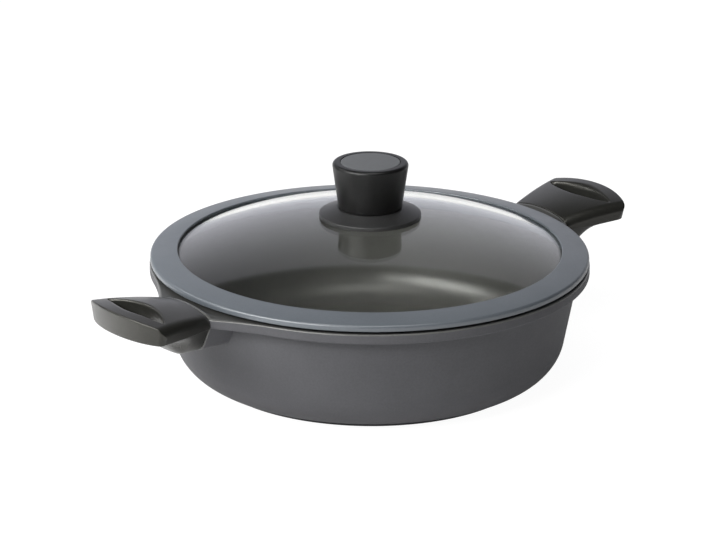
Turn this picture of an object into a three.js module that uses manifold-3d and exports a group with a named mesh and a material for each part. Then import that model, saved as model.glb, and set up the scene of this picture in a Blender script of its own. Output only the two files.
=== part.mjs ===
// A shallow cast casserole with two side handles and a domed glass lid in a soft rim ring.
// Millimetres, +Z up, the origin at the centre of the base on the hob, the handles along X.
import * as THREE from "three";
import { mergeVertices } from "three/addons/utils/BufferGeometryUtils.js";
import Module from "manifold-3d";

// Vessel
const MOUTH_RADIUS = 140; // inside the rim, for a nominal 28 cm
const POT_HEIGHT = 77.8; // hob to the top of the rim
const WALL = 3.8;
const WALL_TAPER = THREE.MathUtils.degToRad(10.35); // from upright
const BASE_THICKNESS = 6;
const CORNER_RADIUS = 28; // outside, between wall and base
const INNER_CORNER_RADIUS = 24;
const FOOT_HEIGHT = 1.7;
const FOOT_STEP = 4.8; // foot beyond the centre of the corner round
const FLANGE_WIDTH = 8.5; // from the mouth outwards
const FLANGE_THICKNESS = 6.9;
const FLANGE_EDGE_ROUND = 1.4;
const FLANGE_ROOT_ROUND = 3;
const SEAT_FLARE = 2.85; // widening of the mouth through the flange
const PLATE_BORDER = 11.8; // foot around the induction plate
const PLATE_THICKNESS = 1.5;

// Lug and tang, one of each under either handle
const LUG_REACH = 8.5; // flange edge to the joint with the handle
const LUG_FILLET = 200; // in plan, from the flange out to the joint
const LUG_INSET = 0.5; // the boss is this much narrower than the handle on each side
const LUG_DRAFT = 7; // and widens by this towards its root
const TANG_LENGTH = 20;
const TANG_WIDTH = 22;
const TANG_HEIGHT = 9;
const TANG_DEPTH = 3; // rim down to the top of the tang
const TANG_ROUND = 2;
const SCREW_SETBACK = 9; // end of the tang back to the screw

// Handle
const HANDLE_LENGTH = 57; // joint to the middle of the outer edge
const NECK_HALF_WIDTH = 27.4;
const TIP_HALF_WIDTH = 42; // where the sides would reach the outer edge
const TIP_BULGE = 12.3; // outer edge, middle beyond its corners
const TIP_CORNER_ROUND = 4; // in plan
const NECK_CREST = 4.6; // crest at the joint above the rim
const TIP_LIFT = 6.2; // crest at the outer edge above the crest at the joint
const CREST_BOW = 1.7; // crest midway above the straight line between its ends
const NECK_CROWN = 4.4; // fall of the top from its crest to its sides
const TIP_CROWN = 4.2;
const SHOULDER_WIDTH = 6; // along either side the top rolls over, as a quarter ellipse
const NECK_SHOULDER = 4.4; // height of that roll
const TIP_SHOULDER = 5.2;
const NECK_SIDE = 6.8; // height of the sides, with the roll
const TIP_SIDE = 10.6;
const SIDE_BOW = 2.6; // lower edge midway below the straight line between its ends
const NECK_DRAFT = 0.8; // the sides lean in by this to their lower edge
const TIP_DRAFT = 3;
const KEEL_DEPTH = 18.2; // keel under the neck, below the sides
const NECK_KEEL_HALF_WIDTH = 18;
const TIP_KEEL_HALF_WIDTH = 12;
const KEEL_START = 14; // the keel runs out between these distances from the joint
const KEEL_END = 37;
const KEEL_ROUND = 10;
const SIDE_BOTTOM_ROUND = 1.2;
const SLOT_BAR = 12.4; // outer edge to the finger slot
const SLOT_WIDTH = 14.4;
const SLOT_END = 11.5; // either end of the slot to the widest part of the handle
const SLOT_OUTER_BULGE = 5;
const HANDLE_SCREW_RADIUS = 2;
const HANDLE_SCREW_GRIP = 6; // thread in the tang
const HANDLE_HEAD_RADIUS = 3.8;
const HANDLE_HEAD_HEIGHT = 2.4;
const HANDLE_WASHER_BORDER = 0.8; // washer beyond the head
const HANDLE_WASHER_THICKNESS = 0.8;
const HANDLE_WEB = 3; // handle material between the washer and the tang

// Lid
const RING_SETBACK = 0.5; // ring inside the edge of the flange
const RING_WIDTH = 18.4;
const RING_GAP = 1.7; // shadow gap over the flange
const RING_EDGE = 4; // upright outer face
const RING_RISE = 3.1; // outer to inner edge of the top face
const RING_LIP = 1.9; // inner edge above the glass
const RING_OUTER_ROUND = 2;
const RING_INNER_ROUND = 0.8;
const SEAT_WIDTH = 4.5; // pad that rests on the flange, from the mouth outwards
const LIP_DROP = 4; // below the glass, into the mouth
const LIP_THICKNESS = 3.4;
const LIP_ROUND = 1.1;
const LIP_CLEARANCE = 0.8;
const GROOVE_DEPTH = 7.5; // glass held in the ring
const GROOVE_JAW = 2; // lower jaw short of the upper one
const DOME_RADIUS = 350;
const GLASS_THICKNESS = 4;

// Knob
const KNOB_TOP_RADIUS = 25.9;
const KNOB_BASE_RADIUS = 21.5;
const KNOB_HEIGHT = 31.2;
const KNOB_TOP_ROUND = 3.2;
const KNOB_BASE_ROUND = 2.2;
const CAP_BORDER = 5.9; // grip around the cap
const CAP_THICKNESS = 2.5;
const CAP_EDGE_ROUND = 0.6;
const SKIRT_WIDTH = 12.9; // beyond the foot of the grip
const SKIRT_RIM = 2.6; // upright edge
const SKIRT_EDGE_ROUND = 0.9;
const SKIRT_SHOULDER = 1.1; // top of the skirt beyond the foot of the grip
const SKIRT_HEIGHT = 5.4; // top of the glass to the top of the skirt
const BUSH_WALL = 2.2;
const BUSH_LENGTH = 14;
const KNOB_SCREW_RADIUS = 2.5;
const KNOB_SCREW_GRIP = 10; // thread in the bush
const KNOB_HEAD_RADIUS = 5;
const KNOB_HEAD_HEIGHT = 3.2;
const KNOB_WASHER_BORDER = 4.5; // washer beyond the head
const KNOB_WASHER_THICKNESS = 1.2;
const GASKET_BORDER = 1.5; // gaskets beyond the washer
const GASKET_THICKNESS = 1.2;
const COLLAR_WALL = 0.9; // gasket collar around the screw, in the hole of the glass

// Fits and facets
const CLEARANCE = 0.3; // between pieces that touch
const MARGIN = 2; // how far a cutter runs past what it cuts
const BODY_SEGMENTS = 54;
const KNOB_SEGMENTS = 32;
const FASTENER_SEGMENTS = 18;
const LOFT_STATIONS = 10;
const CROWN_STEPS = 6; // across the top of the handle
const ROUND_STEPS = 3; // in a rounded corner
const SHOULDER_STEPS = 3; // in the roll along either side of the handle
const ARC_STEPS = 6; // in a long curve
const SHORT_STEPS = 2; // in a short stretch of the dome
const EDGE_SHARE = 0.48; // of an edge, for the round at either end

const wasm = await Module();
wasm.setup();

const { lerp, smoothstep } = THREE.MathUtils;

// Points of a circular arc about [x, y], from one angle to another.
function arc(x, y, radius, from, to, steps = ARC_STEPS) {
  return Array.from({ length: steps + 1 }, (_, i) => {
    const angle = lerp(from, to, i / steps);
    return [x + radius * Math.cos(angle), y + radius * Math.sin(angle)];
  });
}

// Points of the arc from [x, -half] to [x, half] whose middle stands off by bulge along x.
function bulgedArc(x, half, bulge) {
  const radius = (half * half + bulge * bulge) / (2 * Math.abs(bulge));
  const centre = x + bulge - Math.sign(bulge) * radius;
  const angle = Math.asin(half / radius);
  const points = arc(0, 0, radius, -angle, angle);
  return points.map(([px, py]) => [centre + Math.sign(bulge) * px, py]);
}

// A closed outline through corners [x, y, round], where a corner with a round becomes an arc.
function rounded(corners) {
  const at = corners.map(([x, y]) => new THREE.Vector2(x, y));
  return corners.flatMap(([, , round = 0], i) => {
    if (!round) return [at[i]];
    const back = at.at(i - 1).clone().sub(at[i]);
    const ahead = at[(i + 1) % at.length].clone().sub(at[i]);
    const room = EDGE_SHARE * Math.min(back.length(), ahead.length());
    const half = Math.acos(back.normalize().dot(ahead.normalize())) / 2;
    const radius = Math.min(round, room * Math.tan(half));
    const centre = back.clone().add(ahead).setLength(radius / Math.sin(half)).add(at[i]);
    const start = back.clone().setLength(radius / Math.tan(half)).add(at[i]);
    const sweep = Math.sign(ahead.cross(back)) * (Math.PI - 2 * half);
    return Array.from({ length: ROUND_STEPS + 1 }, (_, k) =>
      start.clone().rotateAround(centre, (sweep * k) / ROUND_STEPS),
    );
  });
}

// A solid of revolution about Z. The outline closes on itself, or starts and ends on the axis.
function revolve(outline, segments) {
  const points = THREE.ShapeUtils.isClockWise(outline) ? outline.toReversed() : outline;
  const onAxis = points.some((p) => p.x === 0);
  const closed = onAxis ? points : [...points, points[0]];
  return new THREE.LatheGeometry(closed, segments).rotateX(Math.PI / 2);
}

// A plain cylinder about Z between two heights.
function cylinder(radius, bottom, top, segments) {
  return revolve(rounded([[0, bottom], [radius, bottom], [radius, top], [0, top]]), segments);
}

// An outline in X and Y, raised from one height to another.
function prism(outline, bottom, top) {
  const shape = new THREE.Shape(outline);
  const settings = { depth: top - bottom, bevelEnabled: false, curveSegments: 1 };
  return new THREE.ExtrudeGeometry(shape, settings).translate(0, 0, bottom);
}

// A solid through sections along X, each { x, outline } with equally many points in Y and Z.
function loft(sections) {
  const count = sections[0].outline.length;
  const last = (sections.length - 1) * count;
  const positions = sections.flatMap(({ x, outline }) => outline.flatMap((p) => [x, p.x, p.y]));
  const index = [];
  for (let i = 0; i < last; i += count) {
    for (let j = 0; j < count; j++) {
      const a = i + j;
      const b = i + ((j + 1) % count);
      index.push(a, b, b + count, a, b + count, a + count);
    }
  }
  for (const [a, b, c] of THREE.ShapeUtils.triangulateShape(sections[0].outline, [])) {
    index.push(a, c, b);
  }
  for (const [a, b, c] of THREE.ShapeUtils.triangulateShape(sections.at(-1).outline, [])) {
    index.push(last + a, last + b, last + c);
  }
  const geometry = new THREE.BufferGeometry();
  geometry.setAttribute("position", new THREE.Float32BufferAttribute(positions, 3));
  return geometry.setIndex(index);
}

// Geometry to a solid for joining and cutting.
function solid(geometry) {
  const bare = geometry.clone();
  bare.deleteAttribute("normal");
  bare.deleteAttribute("uv");
  const merged = mergeVertices(bare);
  const vertProperties = merged.attributes.position.array;
  const triVerts = new Uint32Array(merged.index.array);
  return new wasm.Manifold(new wasm.Mesh({ numProp: 3, vertProperties, triVerts }));
}

// A solid back to geometry.
function geometryOf(body) {
  const { vertProperties, triVerts } = body.getMesh();
  const geometry = new THREE.BufferGeometry();
  geometry.setAttribute("position", new THREE.BufferAttribute(vertProperties, 3));
  geometry.setIndex(new THREE.BufferAttribute(triVerts, 1));
  geometry.computeVertexNormals();
  return geometry;
}

function material(color, roughness, metalness) {
  return new THREE.MeshStandardMaterial({ color, roughness, metalness });
}

const coating = material(0x4a4b4e, 0.5, 0.2);
const phenolic = material(0x232324, 0.45, 0);
const silicone = material(0x6f7881, 0.55, 0);
const seal = material(0x2c2d2f, 0.8, 0);
const steel = material(0xb9bbbd, 0.3, 1);
const brass = material(0xb59a52, 0.35, 1);
const clearGlass = new THREE.MeshStandardMaterial({
  color: 0xdfe6e6,
  roughness: 0.05,
  metalness: 0,
  transparent: true,
  opacity: 0.3,
});

function mesh(name, geometry, finish) {
  const piece = new THREE.Mesh(geometry, finish);
  piece.name = name;
  return piece;
}

// Where the pieces meet
const flangeRadius = MOUTH_RADIUS + FLANGE_WIDTH;
const flangeBottom = POT_HEIGHT - FLANGE_THICKNESS;
const jointX = flangeRadius + LUG_REACH;
const ringOuter = flangeRadius - RING_SETBACK;
const ringInner = ringOuter - RING_WIDTH;
const ringEdgeBottom = POT_HEIGHT + RING_GAP;
const ringEdgeTop = ringEdgeBottom + RING_EDGE;
const ringInnerTop = ringEdgeTop + RING_RISE;
const glassRadius = ringInner + GROOVE_DEPTH;
const domeCentre = ringInnerTop - RING_LIP - Math.sqrt(DOME_RADIUS ** 2 - ringInner ** 2);
const glassTop = domeCentre + DOME_RADIUS;

const handleWasherRadius = HANDLE_HEAD_RADIUS + HANDLE_WASHER_BORDER;
const knobBore = KNOB_SCREW_RADIUS + CLEARANCE;
const bushRadius = knobBore + BUSH_WALL;
const collarRadius = knobBore + COLLAR_WALL;
const glassHole = collarRadius + CLEARANCE;
const knobWasherRadius = KNOB_HEAD_RADIUS + KNOB_WASHER_BORDER;
const gasketRadius = knobWasherRadius + GASKET_BORDER;
const capRadius = KNOB_TOP_RADIUS - CAP_BORDER;
const skirtRadius = KNOB_BASE_RADIUS + SKIRT_WIDTH;

// Inside radius of the vessel at a height above its lower corner.
function insideRadius(z) {
  const throat = MOUTH_RADIUS - SEAT_FLARE;
  if (z > flangeBottom) return throat + (SEAT_FLARE * (z - flangeBottom)) / FLANGE_THICKNESS;
  return throat - (flangeBottom - z) * Math.tan(WALL_TAPER);
}

// Corner round between wall and base, and what stands inside it.
const wallRadius = insideRadius(flangeBottom) + WALL / Math.cos(WALL_TAPER);
const cornerZ = CORNER_RADIUS + FOOT_HEIGHT;
const cornerInset = (flangeBottom - cornerZ) * Math.tan(WALL_TAPER);
const cornerX = wallRadius - cornerInset - CORNER_RADIUS / Math.cos(WALL_TAPER);
const footRadius = cornerX + FOOT_STEP;
const plateRadius = footRadius - PLATE_BORDER;

// Points on a sphere concentric with the dome, offset outwards from the top of the glass.
function domeArc(offset, from, to, steps = SHORT_STEPS) {
  const radius = DOME_RADIUS + offset;
  const angle = (r) => Math.acos(r / radius);
  return arc(0, domeCentre, radius, angle(from), angle(to), steps);
}

// Height of that sphere at a radius.
function domeHeight(offset, r) {
  return domeCentre + Math.sqrt((DOME_RADIUS + offset) ** 2 - r * r);
}

// Handle section at a distance from the joint: crowned top that rolls over at the sides, sides that
// lean in, and a keel that runs out.
function handleSection(distance, inset = 0) {
  const along = distance / HANDLE_LENGTH;
  const bow = 4 * along * (1 - along); // 1 midway, 0 at either end
  const width = lerp(NECK_HALF_WIDTH, TIP_HALF_WIDTH, along) - inset;
  const crest = POT_HEIGHT + NECK_CREST + TIP_LIFT * along + CREST_BOW * bow;
  const crown = lerp(NECK_CROWN, TIP_CROWN, along);
  const shoulder = lerp(NECK_SHOULDER, TIP_SHOULDER, along);
  const sideBottom = crest - crown - lerp(NECK_SIDE, TIP_SIDE, along) - SIDE_BOW * bow;
  const foot = width - lerp(NECK_DRAFT, TIP_DRAFT, along);
  const runOut = smoothstep(distance, KEEL_START, KEEL_END);
  const keelBottom = sideBottom - lerp(KEEL_DEPTH, CLEARANCE, runOut);
  const keel = lerp(NECK_KEEL_HALF_WIDTH, TIP_KEEL_HALF_WIDTH, runOut) - inset;
  const top = (y, drop) => [y, crest - crown * (y / width) ** 2 - drop];
  const roll = Array.from({ length: SHOULDER_STEPS + 1 }, (_, i) => {
    const turn = (Math.PI / 2) * (i / SHOULDER_STEPS);
    const y = width - SHOULDER_WIDTH * (1 - Math.sin(turn));
    return top(y, shoulder * (1 - Math.cos(turn)));
  });
  const middle = Array.from({ length: CROWN_STEPS - 1 }, (_, i) => {
    const across = 1 - (2 * (i + 1)) / CROWN_STEPS;
    return top(across * (width - SHOULDER_WIDTH), 0);
  });
  return rounded([
    [-keel, keelBottom, KEEL_ROUND],
    [keel, keelBottom, KEEL_ROUND],
    [foot, sideBottom, SIDE_BOTTOM_ROUND],
    ...roll.toReversed(),
    ...middle,
    ...roll.map(([y, z]) => [-y, z]),
    [-foot, sideBottom, SIDE_BOTTOM_ROUND],
  ]);
}

// Plan that trims the handle: a round at either corner, tangent to the side and to the outer edge.
function handlePlan() {
  const side = new THREE.Vector2(HANDLE_LENGTH, TIP_HALF_WIDTH - NECK_HALF_WIDTH).normalize();
  const outward = new THREE.Vector2(-side.y, side.x);
  const edgeRadius = (TIP_HALF_WIDTH ** 2 + TIP_BULGE ** 2) / (2 * TIP_BULGE);
  const edgeX = HANDLE_LENGTH - edgeRadius;
  const centre = new THREE.Vector2(-edgeX, NECK_HALF_WIDTH); // from the middle of the edge's circle
  centre.addScaledVector(outward, -TIP_CORNER_ROUND);
  const back = centre.dot(side);
  const reach = edgeRadius - TIP_CORNER_ROUND;
  centre.addScaledVector(side, Math.sqrt(back ** 2 - centre.lengthSq() + reach ** 2) - back);
  const end = centre.angle();
  const corner = arc(edgeX + centre.x, centre.y, TIP_CORNER_ROUND, outward.angle(), end);
  const clear = TIP_HALF_WIDTH + MARGIN;
  const half = [
    [-MARGIN, clear],
    [corner[0][0], clear],
    ...corner,
    ...arc(edgeX, 0, edgeRadius, end, 0).slice(1),
  ];
  const mirrored = half.slice(0, -1).toReversed().map(([x, y]) => [x, -y]);
  return rounded([...half, ...mirrored]);
}

// Tang section, grown by a clearance for the socket that takes it.
const tangTop = POT_HEIGHT - TANG_DEPTH;
const tangBottom = tangTop - TANG_HEIGHT;
function tangSection(grow) {
  const half = TANG_WIDTH / 2 + grow;
  const round = TANG_ROUND + grow;
  return rounded([
    [-half, tangBottom - grow, round],
    [half, tangBottom - grow, round],
    [half, tangTop + grow, round],
    [-half, tangTop + grow, round],
  ]);
}

const screwX = TANG_LENGTH - SCREW_SETBACK; // from the joint
const washerTop = tangBottom - CLEARANCE - HANDLE_WEB - CLEARANCE;
const headTop = washerTop - HANDLE_WASHER_THICKNESS - CLEARANCE;

// Lug with its tang, reaching from inside the vessel wall to the joint, along +X.
function lug() {
  const rootX = insideRadius(flangeBottom) - LUG_REACH - NECK_HALF_WIDTH;
  const arched = handleSection(0, LUG_INSET);
  const level = ({ x, y }) => new THREE.Vector2(x, Math.min(y, POT_HEIGHT));
  const boss = solid(
    loft([
      { x: rootX, outline: handleSection(0, LUG_INSET - LUG_DRAFT).map(level) },
      { x: jointX - LUG_REACH, outline: arched.map(level) },
      { x: jointX, outline: arched },
    ]),
  );
  const corner = new THREE.Vector2(jointX, NECK_HALF_WIDTH);
  const reach = flangeRadius + LUG_FILLET;
  const cosine = (reach ** 2 + corner.lengthSq() - LUG_FILLET ** 2) / (2 * reach * corner.length());
  const direction = corner.angle() + Math.acos(cosine);
  const centre = new THREE.Vector2(reach, 0).rotateAround(new THREE.Vector2(), direction);
  const toCorner = corner.clone().sub(centre).angle();
  const side = arc(centre.x, centre.y, LUG_FILLET, toCorner, direction + Math.PI);
  const half = [...side, [rootX, side.at(-1)[1]]];
  const mirrored = half.toReversed().map(([x, y]) => [x, -y]);
  const shelf = solid(prism(rounded([...half, ...mirrored]), flangeBottom, POT_HEIGHT));
  const tang = solid(
    loft([
      { x: jointX - MARGIN, outline: tangSection(0) },
      { x: jointX + TANG_LENGTH, outline: tangSection(0) },
    ]),
  );
  const hole = solid(
    cylinder(
      HANDLE_SCREW_RADIUS + CLEARANCE,
      tangBottom - MARGIN,
      tangBottom + HANDLE_SCREW_GRIP + CLEARANCE,
      FASTENER_SEGMENTS,
    ).translate(jointX + screwX, 0, 0),
  );
  return boss.add(shelf).add(tang).subtract(hole);
}

// Cast vessel: the outside and both lugs, hollowed by the cavity and recessed for the base plate.
function potBody() {
  const cornerStart = -Math.acos(FOOT_STEP / CORNER_RADIUS);
  const outside = rounded([
    [0, 0],
    [footRadius, 0],
    ...arc(cornerX, cornerZ, CORNER_RADIUS, cornerStart, -WALL_TAPER),
    [wallRadius, flangeBottom, FLANGE_ROOT_ROUND],
    [flangeRadius, flangeBottom, FLANGE_EDGE_ROUND],
    [flangeRadius, POT_HEIGHT, FLANGE_EDGE_ROUND],
    [0, POT_HEIGHT],
  ]);
  const innerZ = BASE_THICKNESS + INNER_CORNER_RADIUS;
  const innerX = insideRadius(innerZ) - INNER_CORNER_RADIUS / Math.cos(WALL_TAPER);
  const cavity = rounded([
    [0, BASE_THICKNESS],
    ...arc(innerX, innerZ, INNER_CORNER_RADIUS, -Math.PI / 2, -WALL_TAPER),
    [insideRadius(flangeBottom), flangeBottom],
    [MOUTH_RADIUS, POT_HEIGHT],
    [MOUTH_RADIUS, POT_HEIGHT + NECK_CREST + MARGIN],
    [0, POT_HEIGHT + NECK_CREST + MARGIN],
  ]);
  const recess = cylinder(
    plateRadius + CLEARANCE,
    -MARGIN,
    PLATE_THICKNESS + CLEARANCE,
    BODY_SEGMENTS,
  );
  const rightLug = lug();
  return geometryOf(
    solid(revolve(outside, BODY_SEGMENTS))
      .add(rightLug)
      .add(rightLug.rotate([0, 0, 180]))
      .subtract(solid(revolve(cavity, BODY_SEGMENTS)))
      .subtract(solid(recess)),
  );
}

// Handle from the joint outwards along +X: a loft cut to its outer edge, slot, socket and screw hole.
function handle() {
  const stations = Array.from({ length: LOFT_STATIONS }, (_, i) => {
    const x = lerp(CLEARANCE, HANDLE_LENGTH, i / (LOFT_STATIONS - 1));
    return { x, outline: handleSection(x) };
  });
  const slotHalf = TIP_HALF_WIDTH - SLOT_END;
  const slotX = HANDLE_LENGTH - SLOT_BAR - SLOT_OUTER_BULGE;
  const innerBulge = SLOT_WIDTH - SLOT_OUTER_BULGE;
  const outerEdge = bulgedArc(slotX, slotHalf, SLOT_OUTER_BULGE);
  const innerEdge = bulgedArc(slotX, slotHalf, -innerBulge);
  const slot = rounded([...outerEdge, ...innerEdge.toReversed().slice(1, -1)]);
  const lowest = POT_HEIGHT + NECK_CREST - NECK_CROWN - NECK_SIDE - KEEL_DEPTH - MARGIN;
  const highest = POT_HEIGHT + NECK_CREST + TIP_LIFT + CREST_BOW + MARGIN;
  const socket = loft([
    { x: -MARGIN, outline: tangSection(CLEARANCE) },
    { x: TANG_LENGTH + CLEARANCE, outline: tangSection(CLEARANCE) },
  ]);
  const counterbore = cylinder(
    handleWasherRadius + CLEARANCE,
    lowest,
    washerTop + CLEARANCE,
    FASTENER_SEGMENTS,
  );
  const hole = cylinder(HANDLE_SCREW_RADIUS + CLEARANCE, lowest, tangTop, FASTENER_SEGMENTS);
  return geometryOf(
    solid(loft(stations))
      .intersect(solid(prism(handlePlan(), lowest, highest)))
      .subtract(solid(prism(slot, lowest, highest)))
      .subtract(solid(socket))
      .subtract(solid(counterbore.translate(screwX, 0, 0)))
      .subtract(solid(hole.translate(screwX, 0, 0))),
  );
}

// Screw from below: a domed head under a plain shank.
function screw(shankRadius, headRadius, headHeight, headTopZ, shankTop) {
  return revolve(
    rounded([
      [0, headTopZ - headHeight],
      [headRadius, headTopZ - headHeight, headHeight / 2],
      [headRadius, headTopZ],
      [shankRadius, headTopZ],
      [shankRadius, shankTop],
      [0, shankTop],
    ]),
    FASTENER_SEGMENTS,
  );
}

// Flat ring between two heights.
function washer(inner, outer, bottom, top, segments) {
  return revolve(
    rounded([
      [inner, bottom],
      [outer, bottom],
      [outer, top],
      [inner, top],
    ]),
    segments,
  );
}

// A handle with its screw and washer, all placed from the joint.
function handleGroup(side) {
  const group = new THREE.Group();
  const handleScrew = screw(
    HANDLE_SCREW_RADIUS,
    HANDLE_HEAD_RADIUS,
    HANDLE_HEAD_HEIGHT,
    headTop,
    tangBottom + HANDLE_SCREW_GRIP,
  );
  const handleWasher = washer(
    HANDLE_SCREW_RADIUS + CLEARANCE,
    handleWasherRadius,
    washerTop - HANDLE_WASHER_THICKNESS,
    washerTop,
    FASTENER_SEGMENTS,
  );
  group.add(
    mesh("handle_" + side, handle(), phenolic),
    mesh("handle_screw_" + side, handleScrew.translate(screwX, 0, 0), steel),
    mesh("handle_washer_" + side, handleWasher.translate(screwX, 0, 0), steel),
  );
  return group;
}

// Rim ring: sloped top, upright edge, pad on the flange, lip in the mouth and groove for the glass.
function rimRing() {
  const grooveEnd = glassRadius + CLEARANCE;
  const lower = -GLASS_THICKNESS - CLEARANCE;
  const jaw = domeArc(lower, grooveEnd, ringInner + GROOVE_JAW);
  const seat = POT_HEIGHT + CLEARANCE;
  const lipBottom = domeHeight(lower, grooveEnd) - LIP_DROP;
  const lipOuter = insideRadius(lipBottom) - LIP_CLEARANCE;
  return revolve(
    rounded([
      [lipOuter - LIP_THICKNESS, lipBottom, LIP_ROUND],
      [lipOuter, lipBottom, LIP_ROUND],
      [MOUTH_RADIUS - LIP_CLEARANCE, seat],
      [MOUTH_RADIUS + SEAT_WIDTH, seat],
      [MOUTH_RADIUS + SEAT_WIDTH, ringEdgeBottom],
      [ringOuter, ringEdgeBottom],
      [ringOuter, ringEdgeTop, RING_OUTER_ROUND],
      [ringInner, ringInnerTop, RING_INNER_ROUND],
      ...domeArc(CLEARANCE, ringInner, grooveEnd),
      ...jaw,
    ]),
    BODY_SEGMENTS,
  );
}

// Domed glass with a hole for the knob screw.
function glass() {
  return revolve(
    rounded([
      ...domeArc(0, glassRadius, glassHole, ARC_STEPS),
      ...domeArc(-GLASS_THICKNESS, glassHole, glassRadius, ARC_STEPS),
    ]),
    BODY_SEGMENTS,
  );
}

// Knob stack, from the top of the glass upwards
const gasketTop = CLEARANCE + GASKET_THICKNESS; // as offsets from the glass
const skirtTop = glassTop + SKIRT_HEIGHT;
const knobBottom = skirtTop + CLEARANCE;
const knobTop = knobBottom + KNOB_HEIGHT;
const screwTop = knobBottom + KNOB_SCREW_GRIP;

// and from its underside downwards.
const lowerGasket = -GLASS_THICKNESS - CLEARANCE;
const knobWasherTop = domeHeight(lowerGasket - GASKET_THICKNESS, gasketRadius) - CLEARANCE;
const knobHeadTop = knobWasherTop - KNOB_WASHER_THICKNESS - CLEARANCE;

// Skirt under the grip, hollowed to follow the dome and the upper gasket.
function knobSkirt() {
  const recess = gasketRadius + CLEARANCE;
  return revolve(
    rounded([
      ...domeArc(gasketTop + CLEARANCE, knobBore, recess),
      ...domeArc(CLEARANCE, recess, skirtRadius),
      [skirtRadius, domeHeight(CLEARANCE, skirtRadius) + SKIRT_RIM, SKIRT_EDGE_ROUND],
      [KNOB_BASE_RADIUS + SKIRT_SHOULDER, skirtTop, KNOB_BASE_ROUND],
      [knobBore, skirtTop],
    ]),
    KNOB_SEGMENTS,
  );
}

// Conical grip with a recess for the cap and a bore for the bush.
function knobBody() {
  const recess = capRadius + CLEARANCE;
  const bore = bushRadius + CLEARANCE;
  const floor = knobTop - CAP_THICKNESS - CLEARANCE;
  return revolve(
    rounded([
      [0, knobBottom + BUSH_LENGTH + CLEARANCE],
      [bore, knobBottom + BUSH_LENGTH + CLEARANCE],
      [bore, knobBottom],
      [KNOB_BASE_RADIUS, knobBottom, KNOB_BASE_ROUND],
      [KNOB_TOP_RADIUS, knobTop, KNOB_TOP_ROUND],
      [recess, knobTop],
      [recess, floor],
      [0, floor],
    ]),
    KNOB_SEGMENTS,
  );
}

// Cap disc, level with the top of the grip.
function knobCap() {
  return revolve(
    rounded([
      [0, knobTop - CAP_THICKNESS],
      [capRadius, knobTop - CAP_THICKNESS],
      [capRadius, knobTop, CAP_EDGE_ROUND],
      [0, knobTop],
    ]),
    KNOB_SEGMENTS,
  );
}

// Upper gasket, bent to the dome.
function upperGasket() {
  return revolve(
    rounded([
      ...domeArc(gasketTop, gasketRadius, knobBore),
      ...domeArc(CLEARANCE, knobBore, gasketRadius),
    ]),
    KNOB_SEGMENTS,
  );
}

// Lower gasket, with a collar that keeps the screw off the edge of the hole.
function collarGasket() {
  return revolve(
    rounded([
      [knobBore, domeHeight(0, knobBore)],
      ...domeArc(lowerGasket - GASKET_THICKNESS, knobBore, gasketRadius),
      ...domeArc(lowerGasket, gasketRadius, collarRadius),
      [collarRadius, domeHeight(0, knobBore)],
    ]),
    KNOB_SEGMENTS,
  );
}

const basePlate = cylinder(plateRadius, 0, PLATE_THICKNESS, BODY_SEGMENTS);
const right = handleGroup("right");
right.position.x = jointX;
const left = handleGroup("left");
left.position.x = -jointX;
left.rotation.z = Math.PI;

const pot = new THREE.Group();
pot.add(
  mesh("pot_body", potBody(), coating),
  mesh("induction_base_plate", basePlate, steel),
  right,
  left,
);

const bush = washer(knobBore, bushRadius, knobBottom, knobBottom + BUSH_LENGTH, FASTENER_SEGMENTS);
const knobScrew = screw(
  KNOB_SCREW_RADIUS,
  KNOB_HEAD_RADIUS,
  KNOB_HEAD_HEIGHT,
  knobHeadTop,
  screwTop,
);
const knobWasher = washer(
  knobBore,
  knobWasherRadius,
  knobWasherTop - KNOB_WASHER_THICKNESS,
  knobWasherTop,
  KNOB_SEGMENTS,
);

const lid = new THREE.Group();
lid.add(
  mesh("lid_rim_ring", rimRing(), silicone),
  mesh("lid_glass", glass(), clearGlass),
  mesh("knob_skirt", knobSkirt(), phenolic),
  mesh("knob_body", knobBody(), phenolic),
  mesh("knob_cap", knobCap(), silicone),
  mesh("knob_threaded_insert", bush, brass),
  mesh("knob_gasket_upper", upperGasket(), seal),
  mesh("knob_gasket_lower", collarGasket(), seal),
  mesh("knob_screw_washer", knobWasher, steel),
  mesh("knob_screw", knobScrew, steel),
);

const casserole = new THREE.Group();
casserole.add(pot, lid);

export default casserole;
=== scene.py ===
# %% [markdown]
# # A shallow casserole with a domed glass lid
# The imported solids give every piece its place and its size. This lesson dresses them: each visible
# piece is worked out again as a smooth surface on a grid, and each surface gets its own finish.
# Sizes of pieces are written in millimetres, as on a drawing, and turned into metres when a mesh is
# made. The floor, the lamps and the camera are placed in metres.

# %% Open the frame
import math

import bmesh
import bpy
import numpy as np
from mathutils import Matrix


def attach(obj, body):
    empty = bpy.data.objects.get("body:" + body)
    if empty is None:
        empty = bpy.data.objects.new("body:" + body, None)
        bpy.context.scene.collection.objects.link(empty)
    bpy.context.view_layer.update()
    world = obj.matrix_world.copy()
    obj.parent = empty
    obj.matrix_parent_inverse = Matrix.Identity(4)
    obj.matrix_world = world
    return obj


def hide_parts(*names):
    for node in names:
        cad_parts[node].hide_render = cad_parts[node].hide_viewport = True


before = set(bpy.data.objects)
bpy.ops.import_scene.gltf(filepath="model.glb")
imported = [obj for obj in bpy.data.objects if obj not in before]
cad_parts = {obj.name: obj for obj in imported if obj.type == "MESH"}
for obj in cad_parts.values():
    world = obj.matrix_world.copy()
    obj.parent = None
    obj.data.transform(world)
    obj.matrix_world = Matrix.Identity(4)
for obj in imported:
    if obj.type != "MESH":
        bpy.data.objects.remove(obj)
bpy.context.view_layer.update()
MM = 0.001
print("nodes in the frame:", len(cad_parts))

# %% [markdown]
# ## Curves
# Almost everything on a pot is turned, so most pieces start as a profile: a line of radius and
# height. Corners on a real casting or moulding are never sharp, and a small round is what catches the
# light, so the profile helper swaps each corner for an arc that touches both edges.

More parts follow.
